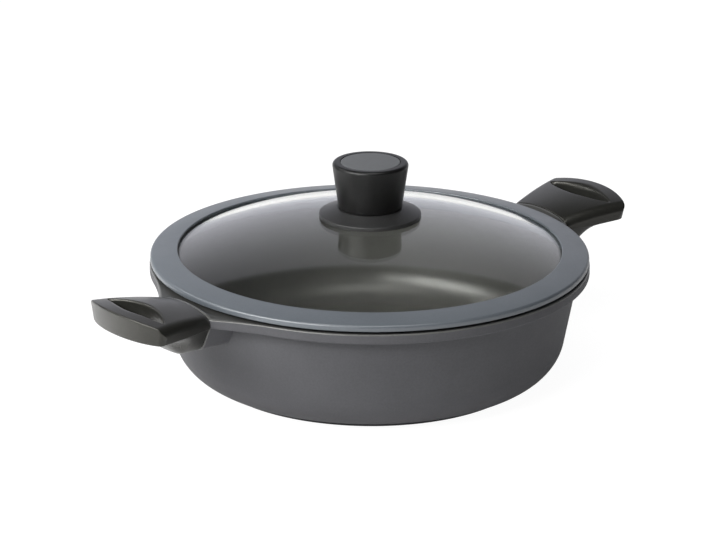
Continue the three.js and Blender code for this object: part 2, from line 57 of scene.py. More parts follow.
# %% Profile helpers
ARC_SHARE = 0.48


def smooth(x, low, high):
    """Share t of x between low and high, eased as 3 t^2 - 2 t^3."""
    t = np.clip((x - low) / (high - low), 0, 1)
    return t * t * (3 - 2 * t)


def mix(a, b, t):
    """Straight blend a + (b - a) t."""
    return a + (b - a) * t


def arc(x, y, radius, start, end, count):
    """Points centre + radius (cos a, sin a), with the angle a even between start and end."""
    a = np.linspace(start, end, count)
    return np.stack([x + radius * np.cos(a), y + radius * np.sin(a)], -1)


def rounded(corners, steps=9):
    """Outline through corners [x, y, round]: each round is an arc that touches both edges there.

    An arc is made smaller where it would take more than its share of an edge."""
    at = np.array([c[:2] for c in corners], float)
    outline = []
    for i, corner in enumerate(corners):
        if len(corner) < 3:
            outline.append(at[i][None])
            continue
        back = at[i - 1] - at[i]
        ahead = at[(i + 1) % len(at)] - at[i]
        room = ARC_SHARE * min(np.hypot(*back), np.hypot(*ahead))
        back /= np.hypot(*back)
        ahead /= np.hypot(*ahead)
        half = math.acos(np.clip(back @ ahead, -1, 1)) / 2
        radius = min(corner[2], room * math.tan(half))
        middle = (back + ahead) / np.hypot(*(back + ahead))
        centre = at[i] + middle * radius / math.sin(half)
        first = at[i] + back * radius / math.tan(half) - centre
        sweep = np.sign(ahead[0] * back[1] - ahead[1] * back[0]) * (math.pi - 2 * half)
        a = math.atan2(first[1], first[0]) + sweep * np.linspace(0, 1, steps)
        outline.append(centre + radius * np.stack([np.cos(a), np.sin(a)], -1))
    return np.concatenate(outline)


def revolve(profile, count):
    """Surface (r cos a, r sin a, z) of a profile (r, z) carried round the upright axis."""
    a = np.linspace(0, 2 * np.pi, count, endpoint=False)[:, None]
    r, z = profile[:, 0], profile[:, 1]
    return np.stack([r * np.cos(a), r * np.sin(a), np.broadcast_to(z, (count, len(z)))], -1)


print("points on a rounded corner:", len(rounded([[0, 0], [1, 0, 0.2], [1, 1]])) - 2)

# %% [markdown]
# ## From a grid to a piece
# A grid of points becomes four-sided faces between neighbours. Where the grid wraps, the last row joins
# the first. Points that fall together on the axis are merged, which closes the poles, and then the faces
# are turned to point outwards. Edges sharper than a set angle stay crisp, and all others shade smoothly.

# %% Mesh helpers
CRISP = math.radians(35)
MERGE = 0.002 * MM


def grid_faces(rows, columns, wrap_columns):
    """Corner numbers and columns of a grid's faces. Rows wrap, and columns wrap if asked."""
    last = columns if wrap_columns else columns - 1
    i, j = np.meshgrid(np.arange(rows), np.arange(last), indexing="ij")
    below, right = (i + 1) % rows, (j + 1) % columns
    corners = [i * columns + j, below * columns + j, below * columns + right, i * columns + right]
    return np.stack(corners, -1).reshape(-1, 4), j.reshape(-1)


def add_object(name, data):
    """An object with this data, linked into the scene."""
    made = bpy.data.objects.new(name, data)
    bpy.context.scene.collection.objects.link(made)
    return made


def closed_mesh(name, points, faces, finish_numbers=None):
    """Mesh from points in millimetres: points that fall together are merged, faces turn outwards."""
    mesh = bpy.data.meshes.new(name)
    mesh.from_pydata(points.reshape(-1, 3) * MM, [], faces)
    if finish_numbers is not None:
        mesh.polygons.foreach_set("material_index", finish_numbers.astype(np.int32))
    shell = bmesh.new()
    shell.from_mesh(mesh)
    bmesh.ops.remove_doubles(shell, verts=shell.verts, dist=MERGE)
    bmesh.ops.recalc_face_normals(shell, faces=shell.faces)
    shell.to_mesh(mesh)
    shell.free()
    return mesh


def place_piece(name, mesh, body, finishes, replaces=()):
    """Puts a mesh into the scene, on its body, with its finishes and the solids that it stands for."""
    mesh.shade_smooth()
    mesh.set_sharp_from_angle(angle=CRISP)
    for finish in finishes:
        mesh.materials.append(finish)
    piece = add_object(name, mesh)
    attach(piece, body)
    if replaces:
        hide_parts(*replaces)
    print(f"{name}: {len(mesh.polygons)} faces")
    return piece


def surface(name, points, body, finishes, replaces=(), wrap_columns=True, column_finish=None):
    """A piece from a grid of points in millimetres, where each column may have its own finish number."""
    faces, column = grid_faces(*points.shape[:2], wrap_columns)
    numbers = None if column_finish is None else column_finish[column]
    mesh = closed_mesh(name, points, faces, numbers)
    return place_piece(name, mesh, body, finishes, replaces)


print(f"edges over {math.degrees(CRISP):.0f} degrees stay crisp")

# %% [markdown]
# ## Effects that several finishes share
# Three effects come back on almost every surface here. Moulded grain is the fine unevenness that a
# mould or a sprayed coat leaves. Handling is the slow change in gloss where hands and cloths have been.
# Fleck is the faint mottle of pigment in a coating. Each is one node group that reads the object's own
# coordinates, so a pattern has the same scale on every piece and stays put when the lid is lifted.

# %% Shared effects
FINER, FINE_SHARE = 3.0, 0.5
PATCH_LOW, PATCH_HIGH = 0.32, 0.68
MOTTLE_SCALE, MOTTLE_SHARE, FLECK_LOW, FLECK_HIGH = 40.0, 0.4, 0.5, 0.9


def new_group(name, inputs, output):
    """An empty node group with float inputs (name, value) and one float output."""
    group = bpy.data.node_groups.new(name, "ShaderNodeTree")
    for label, value in inputs:
        socket = group.interface.new_socket(label, in_out="INPUT", socket_type="NodeSocketFloat")
        socket.default_value = value
    group.interface.new_socket(output, in_out="OUTPUT", socket_type="NodeSocketFloat")
    return group, group.nodes.new("NodeGroupInput"), group.nodes.new("NodeGroupOutput")


def fill(socket, value):
    """Links another socket to this one, or sets a plain value."""
    if isinstance(value, bpy.types.NodeSocket):
        socket.id_data.links.new(value, socket)
    else:
        socket.default_value = value


def set_inputs(node, **values):
    """Fills a node's inputs by their names, with _ for a space."""
    for label, value in values.items():
        fill(node.inputs[label.replace("_", " ")], value)


def new_node(tree, kind, **values):
    """A node of one kind with its inputs filled."""
    node = tree.nodes.new(kind)
    set_inputs(node, **values)
    return node


def noise_node(tree, **values):
    """Noise on object coordinates."""
    place = tree.nodes.new("ShaderNodeTexCoord").outputs["Object"]
    return new_node(tree, "ShaderNodeTexNoise", Vector=place, **values).outputs["Fac"]


def math_node(tree, operation, *values, kind="ShaderNodeMath"):
    """The result of one operation, such as a product, on sockets or plain values."""
    node = tree.nodes.new(kind)
    node.operation = operation
    for socket, value in zip(node.inputs, values):
        fill(socket, value)
    return node.outputs["Value"]


def map_range(tree, value, low, high, to_low, to_high):
    """A clamped straight map from low..high to to_low..to_high, whose ends may be sockets."""
    node = new_node(tree, "ShaderNodeMapRange", Value=value, From_Min=low, From_Max=high)
    set_inputs(node, To_Min=to_low, To_Max=to_high)
    return node.outputs["Result"]


def moulded_grain():
    """Height of a fine even grain: noise, plus half as much noise that is three times finer."""
    group, into, out = new_group("moulded_grain", [("Scale", 900.0)], "Height")
    coarse = noise_node(group, Scale=into.outputs["Scale"], Detail=3.0, Roughness=0.6)
    finer = math_node(group, "MULTIPLY", into.outputs["Scale"], FINER)
    fine = noise_node(group, Scale=finer, Detail=2.0, Roughness=0.5)
    both = math_node(group, "MULTIPLY_ADD", fine, FINE_SHARE, coarse)
    set_inputs(out, Height=both)
    return group


def handling():
    """Roughness that drifts between two values in soft patches a few centimetres wide."""
    inputs = [("Scale", 22.0), ("Least", 0.35), ("Most", 0.5)]
    group, into, out = new_group("handling", inputs, "Roughness")
    patches = noise_node(group, Scale=into.outputs["Scale"], Detail=5.0, Roughness=0.65)
    least, most = into.outputs["Least"], into.outputs["Most"]
    set_inputs(out, Roughness=map_range(group, patches, PATCH_LOW, PATCH_HIGH, least, most))
    return group


def fleck():
    """Mask of small pigment flecks, plus a share of a slower mottle."""
    group, into, out = new_group("fleck", [("Scale", 700.0)], "Mask")
    small = noise_node(group, Scale=into.outputs["Scale"], Detail=4.0, Roughness=0.7)
    slow = noise_node(group, Scale=MOTTLE_SCALE, Detail=3.0, Roughness=0.5)
    both = math_node(group, "MULTIPLY_ADD", slow, MOTTLE_SHARE, small)
    set_inputs(out, Mask=map_range(group, both, FLECK_LOW, FLECK_HIGH, 0.0, 1.0))
    return group


GRAIN, HANDLING, FLECK = moulded_grain(), handling(), fleck()
print("effects:", GRAIN.name, HANDLING.name, FLECK.name)

# %% [markdown]
# ## Finishes
# One builder makes every solid finish: two close colours mixed by flecks, a drifting roughness and a
# fine bump. What is the same all over a surface is set on the shader itself. The values come from the
# object: two coats on the pot and the rubbed edge between them, black moulded handles and knob, soft
# blue-grey silicone and plain steel. Two are partly painted light: the edge is a little lighter, which
# paints in part of its highlight line, and the knob's grip is a much darker copy of the skirt's black
# phenolic, which paints shade on its front.

# %% Solid finishes
RELIEF_HEIGHT = 0.2 * MM


def new_finish(name):
    """A material with nodes, its node tree and its Principled shader."""
    finish = bpy.data.materials.new(name)
    finish.use_nodes = True
    return finish, finish.node_tree, finish.node_tree.nodes["Principled BSDF"]


def place_group(tree, group, **values):
    """Puts a group in a material, fills its inputs and gives its one output."""
    node = tree.nodes.new("ShaderNodeGroup")
    node.node_tree = group
    set_inputs(node, **values)
    return node.outputs[0]


def solid_finish(name, dark, light, rough, grain, bump, specular=0.5, **plain):
    """Principled finish: colour by fleck, roughness by handling, bump by grain, other inputs plain."""
    finish, tree, shader = new_finish(name)
    blend = tree.nodes.new("ShaderNodeMix")
    blend.data_type = "RGBA"
    set_inputs(blend, A=(*dark, 1), B=(*light, 1), Factor=place_group(tree, FLECK))
    relief = new_node(tree, "ShaderNodeBump", Strength=bump, Distance=RELIEF_HEIGHT)
    set_inputs(relief, Height=place_group(tree, GRAIN, Scale=grain))
    gloss = place_group(tree, HANDLING, Least=rough[0], Most=rough[1])
    set_inputs(shader, Base_Color=blend.outputs["Result"], Roughness=gloss)
    set_inputs(shader, Normal=relief.outputs["Normal"], Specular_IOR_Level=specular, **plain)
    return finish


pot_coat = solid_finish(
    "pot_coat", dark=(0.068, 0.068, 0.073), light=(0.081, 0.081, 0.087),
    rough=(0.54, 0.62), grain=1400, bump=0.12, specular=0.25,
)
inner_coat = solid_finish(
    "inner_coat", dark=(0.036, 0.036, 0.034), light=(0.045, 0.045, 0.042),
    rough=(0.33, 0.39), grain=1600, bump=0.10, specular=0.66,
)
# Rubbed edge: glossier than the coat, and a little lighter, which paints in part of its highlight line.
rubbed_edge_and_highlight = solid_finish(
    "rubbed_edge_and_highlight", dark=(0.08, 0.08, 0.076), light=(0.10, 0.10, 0.096),
    rough=(0.26, 0.36), grain=1600, bump=0.08, specular=0.7,
)
handle_phenolic = solid_finish(
    "handle_phenolic", dark=(0.012, 0.012, 0.0105), light=(0.018, 0.018, 0.016),
    rough=(0.27, 0.36), grain=1100, bump=0.16, specular=0.45,
    Specular_Tint=(1.0, 0.98, 0.91, 1.0),
)
# Same phenolic as the skirt, made much darker: painted shade on the grip's front, which faces dark
# glass.
knob_phenolic = solid_finish(
    "knob_phenolic", dark=(0.004, 0.004, 0.004), light=(0.007, 0.007, 0.007),
    rough=(0.32, 0.40), grain=1200, bump=0.10, specular=0.34,
)
# The skirt keeps the plainer colour of this phenolic; the grip's darker copy is the painted shade.
skirt_phenolic = solid_finish(
    "skirt_phenolic", dark=(0.018, 0.018, 0.018), light=(0.024, 0.024, 0.024),
    rough=(0.36, 0.44), grain=1200, bump=0.10, specular=0.45,
)
rim_silicone = solid_finish(
    "rim_silicone", dark=(0.086, 0.098, 0.111), light=(0.102, 0.116, 0.130),
    rough=(0.30, 0.38), grain=1000, bump=0.10, specular=0.8,
)
cap_silicone = solid_finish(
    "cap_silicone", dark=(0.100, 0.104, 0.108), light=(0.114, 0.119, 0.123),
    rough=(0.46, 0.56), grain=1000, bump=0.10, specular=0.35,
)
seal_silicone = solid_finish(
    "seal_silicone", dark=(0.024, 0.024, 0.026), light=(0.034, 0.034, 0.036),
    rough=(0.55, 0.65), grain=900, bump=0.15,
)
bright_steel = solid_finish(
    "bright_steel", dark=(0.52, 0.52, 0.53), light=(0.60, 0.60, 0.61),
    rough=(0.22, 0.32), grain=2500, bump=0.05, Metallic=1.0,
)
turned_brass = solid_finish(
    "turned_brass", dark=(0.55, 0.38, 0.14), light=(0.66, 0.47, 0.19),
    rough=(0.25, 0.35), grain=2500, bump=0.05, Metallic=1.0,
)
print("solid finishes:", len(bpy.data.materials))

# %% [markdown]
# The lid is toughened glass, clear with a breath of grey-green. Clear glass throws almost no shadow,
# but a path tracer needs lucky paths to find a lamp through it. The usual answer is used here: for
# shadow rays alone the glass is a plain see-through sheet, so light reaches the inside of the pot.

# %% Glass finish
GLASS_TINT, SHADOW_TINT = (0.95, 0.955, 0.925, 1), (0.95, 0.955, 0.94, 1)
GLASS_IOR, SMEAR_SCALE, SMEAR = 1.5, 14.0, 0.008


def glass_finish():
    """Principled glass, with a see-through shader in its place for shadow rays."""
    finish, tree, shader = new_finish("lid_glass_clear")
    smears = place_group(tree, HANDLING, Scale=SMEAR_SCALE, Least=0.0, Most=SMEAR)
    set_inputs(shader, Metallic=0.0, Transmission_Weight=1.0, IOR=GLASS_IOR)
    set_inputs(shader, Base_Color=GLASS_TINT, Roughness=smears)
    clear = new_node(tree, "ShaderNodeBsdfTransparent", Color=SHADOW_TINT)
    path = tree.nodes.new("ShaderNodeLightPath")
    either = new_node(tree, "ShaderNodeMixShader", Fac=path.outputs["Is Shadow Ray"])
    fill(either.inputs[1], shader.outputs["BSDF"])
    fill(either.inputs[2], clear.outputs["BSDF"])
    set_inputs(tree.nodes["Material Output"], Surface=either.outputs["Shader"])
    return finish


clear_glass = glass_finish()
print("glass finish:", clear_glass.name)

# %% [markdown]
# ## The pot
# The vessel is one casting: a foot, a long corner round, a leaning wall and a flange, hollowed inside.
# A turned profile gives all of that. The two lugs are part of the flange, so the flange radius is made
# a function of the angle: plain circle, then a wide hollow curve out to the joint, then the flat joint.
# Towards the joint the top of the flange swells up into the arch that the handle carries on.

# %% Sizes of the pot
MOUTH_RADIUS, POT_HEIGHT, WALL, BASE_THICKNESS = 140, 77.8, 3.8, 6
TAPER = math.radians(10.35)
CORNER_RADIUS, INNER_CORNER_RADIUS = 28, 24
FOOT_HEIGHT, FOOT_STEP, PLATE_BORDER, PLATE_THICKNESS = 1.7, 4.8, 11.8, 1.5
FLANGE_WIDTH, FLANGE_THICKNESS, FLANGE_EDGE_ROUND, FLANGE_ROOT_ROUND = 8.5, 6.9, 1.4, 3
FLANGE_TOP_ROUND, MOUTH_ROUND, THROAT_ROUND, FOOT_ROUND, PLATE_EDGE_ROUND = 0.9, 0.8, 1.5, 0.5, 0.3
SEAT_FLARE, CLEARANCE = 2.85, 0.3
LUG_REACH, LUG_FILLET, NECK_HALF_WIDTH = 8.5, 200, 27.4
NECK_CREST, NECK_CROWN, NECK_SHOULDER, SHOULDER_WIDTH = 4.6, 4.4, 4.4, 6

flange_radius = MOUTH_RADIUS + FLANGE_WIDTH
flange_bottom = POT_HEIGHT - FLANGE_THICKNESS
flange_middle = POT_HEIGHT - FLANGE_THICKNESS / 2
joint_x = flange_radius + LUG_REACH


def inside_radius(z):
    """Inner radius: the throat, less the lean of the wall below the flange."""
    return MOUTH_RADIUS - SEAT_FLARE - (flange_bottom - z) * math.tan(TAPER)


wall_radius = inside_radius(flange_bottom) + WALL / math.cos(TAPER)
corner_z = CORNER_RADIUS + FOOT_HEIGHT
corner_x = wall_radius - (flange_bottom - corner_z) * math.tan(TAPER) - CORNER_RADIUS / math.cos(TAPER)
foot_radius = corner_x + FOOT_STEP
plate_radius = foot_radius - PLATE_BORDER
print(f"joint at {joint_x:.1f} mm, foot radius {foot_radius:.1f} mm, plate radius {plate_radius:.1f} mm")

# %% [markdown]
# A lug is where the casting reaches out to carry a handle. Seen from above, its outline is the joint, a
# long hollow curve and then the round rim. All three are written as one distance from the axis for each
# angle, so the turned wall and the lugs share one grid and need no join.

# %% Flange outline and the swelling at the lugs
QUARTER_LINES = (14, 26, 36)

corner_angle = math.atan2(NECK_HALF_WIDTH, joint_x)
corner_reach = math.hypot(joint_x, NECK_HALF_WIDTH)
centre_reach = flange_radius + LUG_FILLET
centre_angle = corner_angle + math.acos(
    (centre_reach**2 + corner_reach**2 - LUG_FILLET**2) / (2 * centre_reach * corner_reach)
)


def flange_reach(angle):
    """Flange radius at an angle: the joint line, the hollow curve beyond it, or the plain circle."""
    folded = np.arcsin(np.abs(np.sin(angle)))
    along = centre_reach * np.cos(centre_angle - folded)
    hollow = along - np.sqrt(np.maximum(along**2 - centre_reach**2 + LUG_FILLET**2, 0))
    joint = joint_x / np.cos(np.minimum(folded, centre_angle))
    reach = np.where(folded < corner_angle, joint, hollow)
    return np.where(folded < centre_angle, reach, flange_radius)


def shoulder_roll(inset):
    """Drop of the roll along an edge, as a share of its height: a quarter ellipse in from the edge."""
    over = np.clip(1 - inset / SHOULDER_WIDTH, 0, 1)
    return 1 - np.sqrt(1 - over**2)


def lug_swell(x, y):
    """Rise of the flange top: the arch of the handle's neck, eased in from the rim ring to the joint."""
    roll = NECK_SHOULDER * shoulder_roll(NECK_HALF_WIDTH - np.abs(y))
    arch = np.maximum(NECK_CREST - NECK_CROWN * (y / NECK_HALF_WIDTH) ** 2 - roll, 0)
    return arch * smooth(np.abs(x), flange_radius, joint_x)


def quarter_angles():
    """Angles of one quarter turn, closer together at the joint and at its corner."""
    ends = [0, corner_angle, centre_angle, np.pi / 2]
    parts = zip(ends, ends[1:], QUARTER_LINES)
    return np.concatenate([np.linspace(a, b, count, endpoint=False) for a, b, count in parts])


quarter = quarter_angles()
half_turn = np.concatenate([quarter, [np.pi / 2], np.pi - quarter[:0:-1]])
around = np.concatenate([half_turn, half_turn + np.pi])
print("grid lines around the pot:", len(around))

# %% [markdown]
# Such a pot is sprayed with two coats: a matt grey one outside, and a darker, smoother one inside that
# also covers the top of the flange. Where they meet the edge is rubbed almost bare. Its finish is
# glossier, so it catches the light as a thin bright line, and a little lighter, which paints in part of
# that highlight. Each column of the grid has a finish number, so one mesh has all three.

# %% Pot shell
OUTSIDE, INSIDE, EDGE = 0, 1, 2
SWELL_START, EDGE_MARGIN, MOUTH_MARGIN = 0.05, 1.5, 1
CORNER_POINTS, INNER_POINTS, BELOW_POINTS, ABOVE_POINTS = 40, 30, 4, 8


def spread(start, end, count):
    """Even points on the straight line between two points, ends left out."""
    t = np.linspace(0, 1, count + 2)[1:-1, None]
    return np.array(start) * (1 - t) + np.array(end) * t


def pot_profile():
    """Profile from the middle of the underside round the outside and down the inside to the floor.

    Gives the points, how far each follows the flange outline, and the finish after each point."""
    start = -math.acos(FOOT_STEP / CORNER_RADIUS)
    recess = PLATE_THICKNESS + CLEARANCE
    outer = rounded([
        [0, recess],
        [plate_radius + CLEARANCE, recess],
        [plate_radius + CLEARANCE, 0, PLATE_EDGE_ROUND],
        [foot_radius, 0, FOOT_ROUND],
        *arc(corner_x, corner_z, CORNER_RADIUS, start, -TAPER, CORNER_POINTS),
        [wall_radius, flange_bottom, FLANGE_ROOT_ROUND],
        [flange_radius - EDGE_MARGIN, flange_bottom],
        [0, POT_HEIGHT],
    ])[:-2]
    root_end = wall_radius + FLANGE_ROOT_ROUND
    under_end = flange_radius - EDGE_MARGIN
    below = spread((root_end, flange_bottom), (under_end, flange_bottom), BELOW_POINTS)
    edge = rounded([
        [MOUTH_RADIUS, flange_bottom],
        [flange_radius, flange_bottom, FLANGE_EDGE_ROUND],
        [flange_radius, POT_HEIGHT, FLANGE_TOP_ROUND],
        [MOUTH_RADIUS, POT_HEIGHT],
    ])[1:-1]
    top_end, mouth_end = flange_radius - FLANGE_TOP_ROUND, MOUTH_RADIUS + MOUTH_MARGIN
    above = spread((top_end, POT_HEIGHT), (mouth_end, POT_HEIGHT), ABOVE_POINTS)
    inner_z = BASE_THICKNESS + INNER_CORNER_RADIUS
    inner_x = inside_radius(inner_z) - INNER_CORNER_RADIUS / math.cos(TAPER)
    inner = rounded([
        [flange_radius, POT_HEIGHT],
        [MOUTH_RADIUS, POT_HEIGHT, MOUTH_ROUND],
        [inside_radius(flange_bottom), flange_bottom, THROAT_ROUND],
        *arc(inner_x, inner_z, INNER_CORNER_RADIUS, -TAPER, -np.pi / 2, INNER_POINTS),
        [0, BASE_THICKNESS],
    ])[1:]
    points = np.concatenate([outer, below, edge, above, inner])
    follows = np.zeros(len(points))
    first = len(outer)
    last = first + len(below) + len(edge) + len(above)
    root = np.where(points[:, 1] < flange_middle, root_end, MOUTH_RADIUS)
    follows[first:last] = ((points[:, 0] - root) / (flange_radius - root))[first:last]
    finish = np.full(len(points), OUTSIDE)
    edge_end = first + len(below) + len(edge) - 1
    finish[edge_end - len(edge) // 2 + 1 : edge_end] = EDGE
    finish[edge_end:] = INSIDE
    return points, np.clip(follows, 0, 1), finish


def pot_surface():
    """Turned profile; flange points reach out by follows x (flange outline - circle), then swell."""
    points, follows, finish = pot_profile()
    reach = points[:, 0] + follows * (flange_reach(around) - flange_radius)[:, None]
    x, y = reach * np.cos(around)[:, None], reach * np.sin(around)[:, None]
    top = follows * (points[:, 1] > flange_middle)
    z = points[:, 1] + lug_swell(x, y) * smooth(top, 0, SWELL_START)
    return np.stack([x, y, z], -1), finish


pot_points, pot_finish = pot_surface()
surface(
    "pot_shell", pot_points, "pot", [pot_coat, inner_coat, rubbed_edge_and_highlight], ["pot_body"],
    wrap_columns=False, column_finish=pot_finish,
)

# %% [markdown]
# ## The handles
# Each handle is a black moulded grip with a crowned top, leaning sides, a keel under its neck and a
# lens-shaped finger slot. A body with one hole is a ring, so its surface is a grid that wraps both
# ways: one way round the outline, the other way across the top, down through the slot, back along the
# underside and up the side. The top and the underside are heights over the plan.

# %% Sizes of the handle
HANDLE_LENGTH, TIP_HALF_WIDTH, TIP_BULGE, TIP_CORNER_ROUND = 57, 42, 12.3, 4
TIP_LIFT, CREST_BOW, TIP_CROWN, TIP_SHOULDER = 6.2, 1.7, 4.2, 5.2
NECK_SIDE, TIP_SIDE, SIDE_BOW, NECK_DRAFT, TIP_DRAFT = 6.8, 10.6, 2.6, 0.8, 3
KEEL_DEPTH, NECK_KEEL, TIP_KEEL, KEEL_START, KEEL_END, KEEL_SOFT = 18.2, 18, 12, 14, 37, 6
SLOT_BAR, SLOT_WIDTH, SLOT_END, SLOT_OUTER_BULGE = 12.4, 14.4, 11.5, 5
SLOT_MIDDLE_SHIFT, SLOT_END_SOFT = 1.5, 9


def neck_width(x):
    """Half width of the handle, straight from neck to tip."""
    return mix(NECK_HALF_WIDTH, TIP_HALF_WIDTH, x / HANDLE_LENGTH)


def crest_height(x):
    """Height of the ridge: a straight climb plus a parabola that bows it up midway."""
    a = x / HANDLE_LENGTH
    return POT_HEIGHT + NECK_CREST + TIP_LIFT * a + 4 * CREST_BOW * a * (1 - a)


def handle_top(x, y):
    """Top: the ridge less a parabola across, and a quarter ellipse that rolls each side over."""
    a = x / HANDLE_LENGTH
    width = neck_width(x)
    shoulder = mix(NECK_SHOULDER, TIP_SHOULDER, a) * shoulder_roll(width - np.abs(y))
    return crest_height(x) - mix(NECK_CROWN, TIP_CROWN, a) * (y / width) ** 2 - shoulder


def side_draft(x):
    """How far the sides lean in at their lower edge."""
    return mix(NECK_DRAFT, TIP_DRAFT, x / HANDLE_LENGTH)


def handle_underside(x, y):
    """Underside: the lower edge of the sides, and a keel with sloping flanks that runs out."""
    a = x / HANDLE_LENGTH
    thickness = mix(NECK_SIDE, TIP_SIDE, a) + 4 * SIDE_BOW * a * (1 - a)
    side = crest_height(x) - mix(NECK_CROWN, TIP_CROWN, a) - thickness
    run_out = smooth(x, KEEL_START, KEEL_END)
    floor = side - mix(KEEL_DEPTH, CLEARANCE, run_out)
    keel = mix(NECK_KEEL, TIP_KEEL, run_out)
    foot = neck_width(x) - side_draft(x)
    flank = floor + (np.abs(y) - keel) * (side - floor) / (foot - keel)
    soft = KEEL_SOFT * (1 - run_out)
    raised = (floor + flank + np.sqrt((floor - flank) ** 2 + soft**2)) / 2
    return np.minimum(raised, side)


print(f"tip of the handle at {joint_x + HANDLE_LENGTH:.1f} mm")

# %% [markdown]
# The plan of the handle is drawn once: straight sides that spread, small rounds at the corners of the
# tip, and one arc as its outer edge. The slot is the overlap of two discs. It is found by going from the
# middle of the slot towards each point of the outline, so the two edges have matching points.

# %% Outline and slot of the handle
JOINT_POINTS, SIDE_POINTS, FILLET_POINTS, TIP_POINTS = 16, 46, 12, 40
JOINT_STRIP, TIP_STRIP = 0.5, 1.1
JOINT_DROP, SIDE_DROP, TIP_DROP = 0.5, 0.3, 1.1

tip_radius = (TIP_HALF_WIDTH**2 + TIP_BULGE**2) / (2 * TIP_BULGE)
tip_centre = HANDLE_LENGTH - tip_radius


def tip_fillet():
    """Centre of the round between side and outer edge, and the angles where it touches them.

    The centre is on the side's line moved in by the round, and as far from the edge's own centre."""
    along = np.array([HANDLE_LENGTH, TIP_HALF_WIDTH - NECK_HALF_WIDTH])
    along = along / np.hypot(*along)
    outward = np.array([-along[1], along[0]])
    start = np.array([-tip_centre, NECK_HALF_WIDTH]) - outward * TIP_CORNER_ROUND
    b = start @ along
    reach = tip_radius - TIP_CORNER_ROUND
    centre = start + along * (math.sqrt(b * b - start @ start + reach**2) - b)
    first, last = (math.atan2(*way[::-1]) for way in (outward, centre))
    return centre + [tip_centre, 0], first, last


def along_outline(at_joint, at_side, at_tip):
    """One value at each point of half the outline, eased round the corner from the side to the tip."""
    ease = smooth(np.arange(FILLET_POINTS - 1), 0, FILLET_POINTS - 2)
    return np.concatenate([
        np.full(JOINT_POINTS - 1, at_joint),
        np.full(SIDE_POINTS, at_side),
        mix(at_side, at_tip, ease),
        np.full(TIP_POINTS - 1, at_tip),
    ])


def handle_outline():
    """Outline from the middle of the joint round the handle, with two values at each point.

    They are the width of the strip along its top edge, and how far a round of the edge drops."""
    centre, first, last = tip_fillet()
    touch = centre[0] + TIP_CORNER_ROUND * math.cos(first)
    y = np.linspace(0, NECK_HALF_WIDTH, JOINT_POINTS)
    joint = np.stack([np.full_like(y, CLEARANCE), y], -1)
    x = np.linspace(CLEARANCE, touch, SIDE_POINTS)[1:]
    side = np.stack([x, neck_width(x)], -1)
    fillet = arc(*centre, TIP_CORNER_ROUND, first, last, FILLET_POINTS)[1:]
    edge = arc(tip_centre, 0, tip_radius, last, 0, TIP_POINTS)[1:]
    half = np.concatenate([joint, side, fillet, edge])
    strip = along_outline(JOINT_STRIP, SHOULDER_WIDTH, TIP_STRIP)
    drop = along_outline(JOINT_DROP, SIDE_DROP, TIP_DROP)
    mirrored = half[-2:0:-1] * [1, -1]
    whole = (np.concatenate([values, values[-2:0:-1]]) for values in (strip, drop))
    return np.concatenate([half, mirrored]), *whole


def slot_share(outline):
    """Share of the way from the slot's middle to the outline at which the slot's edge is crossed.

    The slot is where two discs overlap; a soft minimum of both crossings rounds its two ends."""
    half = TIP_HALF_WIDTH - SLOT_END
    x = HANDLE_LENGTH - SLOT_BAR - SLOT_OUTER_BULGE
    inner_bulge = SLOT_WIDTH - SLOT_OUTER_BULGE
    middle = np.array([x - SLOT_MIDDLE_SHIFT, 0])
    ray = outline - middle
    shares = []
    for bulge, way in ((SLOT_OUTER_BULGE, 1), (inner_bulge, -1)):
        radius = (half**2 + bulge**2) / (2 * bulge)
        offset = middle - [x + way * (bulge - radius), 0]
        a, b = (ray**2).sum(-1), ray @ offset
        shares.append((-b + np.sqrt(b * b - a * (offset @ offset - radius**2))) / a)
    both = shares[0] ** -SLOT_END_SOFT + shares[1] ** -SLOT_END_SOFT
    return middle, both ** (-1 / SLOT_END_SOFT)


outline, top_strip, top_drop = handle_outline()
slot_middle, slot_cross = slot_share(outline)
print("points round the handle:", len(outline))

# %% [markdown]
# Now the plan gets its heights. Each loop starts at the outer edge, crosses the top, rolls into the slot
# and comes back underneath. The slot is rounded more on the side of the tip, where fingers pull, and its
# walls lean, as the walls of a moulding do. The screw's hole is a plain cut, so a Boolean makes it.

# %% Handle surface
SIDES = ((1, "right"), (-1, "left"))
INNER_SLOT_ROUND, OUTER_SLOT_ROUND, UNDER_ROUND = 2.4, 5, 1.0
INNER_SLOT_DRAFT, OUTER_SLOT_DRAFT = 2.6, 3.5
SLOT_BLEND = (-0.2, 0.6)
LEAN_END, LEAN_RUN, TOUCH = 3, 10, 0.01
ROUND_POINTS, ACROSS_POINTS = 9, 30
SCREW_X, WASHER_TOP, COUNTERBORE_RADIUS, CUTTER_BOTTOM, CUTTER_TURNS = 11, 62.2, 4.9, 20, 48


